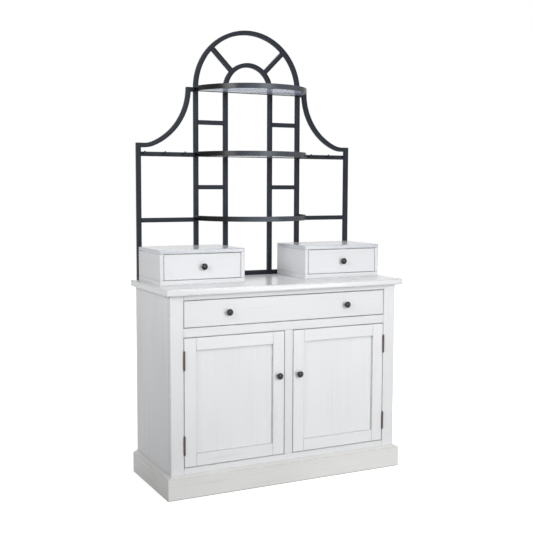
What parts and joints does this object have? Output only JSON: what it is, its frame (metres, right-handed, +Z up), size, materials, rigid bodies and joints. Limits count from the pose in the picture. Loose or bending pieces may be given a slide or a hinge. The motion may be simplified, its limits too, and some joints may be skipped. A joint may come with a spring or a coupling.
{
  "type": "bakers rack",
  "caption": "Painted sideboard base with a wide drawer, two hinged doors and drawer boxes on its top, under an arched square-tube metal rack with half-round glass shelves and hooks.",
  "frame": {"origin": "floor point under the middle of the overall width and depth", "axes": "+X to the object's right as seen from its front, +Y to its back, +Z up; the doors and drawers face -Y"},
  "size_m": [1.194, 0.48, 2.0979],
  "materials": {
    "white_paint": "brushed white paint with faint grey grain, satin",
    "drawer_wood": "plain pale drawer wood, satin lacquer",
    "black_metal": "charcoal powder coat",
    "bronze": "oil-rubbed bronze",
    "dark_knob": "near-black bronze, satin",
    "zinc_steel": "zinc-plated",
    "glass": "lightly tinted, polished edges"
  },
  "bodies": {
    "cabinet": {"back_panel": "white_paint", "drawer_cleats": "drawer_wood", "drawer_slide_channels": "zinc_steel", "floor_panel": "white_paint", "frame_bottom_rail": "white_paint", "frame_middle_rail": "white_paint", "frame_middle_stile": "white_paint", "frame_stile_left": "white_paint", "frame_stile_right": "white_paint", "frame_top_rail": "white_paint", "glass_shelves": "glass", "hinge_frame_leaves": "bronze", "hinge_pins": "bronze", "inner_shelf": "white_paint", "left_box_back": "white_paint", "left_box_base": "white_paint", "left_box_sides": "white_paint", "left_box_top": "white_paint", "plinth_front": "white_paint", "plinth_sides": "white_paint", "rack_base_rail": "black_metal", "rack_crossbars": "black_metal", "rack_fanlight": "black_metal", "rack_hooks": "black_metal", "rack_inner_posts": "black_metal", "rack_outer_arch": "black_metal", "rack_outer_posts": "black_metal", "rack_scrolls": "black_metal", "rack_tall_posts": "black_metal", "right_box_back": "white_paint", "right_box_base": "white_paint", "right_box_sides": "white_paint", "right_box_top": "white_paint", "shelf_bands": "black_metal", "shelf_pegs": "zinc_steel", "side_panel_left": "white_paint", "side_panel_right": "white_paint", "worktop": "white_paint"},
    "wide_drawer": {"wide_drawer_back": "drawer_wood", "wide_drawer_bottom": "drawer_wood", "wide_drawer_front": "white_paint", "wide_drawer_knobs": "dark_knob", "wide_drawer_rails": "zinc_steel", "wide_drawer_sides": "drawer_wood"},
    "left_door": {"left_door_hinge_leaves": "bronze", "left_door_knob": "dark_knob", "left_door_panel": "white_paint", "left_door_rails": "white_paint", "left_door_stiles": "white_paint"},
    "right_door": {"right_door_hinge_leaves": "bronze", "right_door_knob": "dark_knob", "right_door_panel": "white_paint", "right_door_rails": "white_paint", "right_door_stiles": "white_paint"},
    "left_box_drawer": {"left_box_drawer_front": "white_paint", "left_box_drawer_tray": "drawer_wood", "left_box_knob": "dark_knob"},
    "right_box_drawer": {"right_box_drawer_front": "white_paint", "right_box_drawer_tray": "drawer_wood", "right_box_knob": "dark_knob"}
  },
  "joints": [
    {"name": "wide_drawer_slide", "type": "slide", "parent": "cabinet", "child": "wide_drawer", "axis": [0, -1, 0], "range_m": [0, 0.34]},
    {"name": "left_box_drawer_slide", "type": "slide", "parent": "cabinet", "child": "left_box_drawer", "axis": [0, -1, 0], "range_m": [0, 0.2]},
    {"name": "right_box_drawer_slide", "type": "slide", "parent": "cabinet", "child": "right_box_drawer", "axis": [0, -1, 0], "range_m": [0, 0.2]},
    {"name": "left_door_hinge", "type": "hinge", "parent": "cabinet", "child": "left_door", "pos_m": [-0.5095, -0.2165, 0.4165], "axis": [0, 0, -1], "range_deg": [0, 110]},
    {"name": "right_door_hinge", "type": "hinge", "parent": "cabinet", "child": "right_door", "pos_m": [0.5095, -0.2165, 0.4165], "axis": [0, 0, 1], "range_deg": [0, 110]}
  ]
}
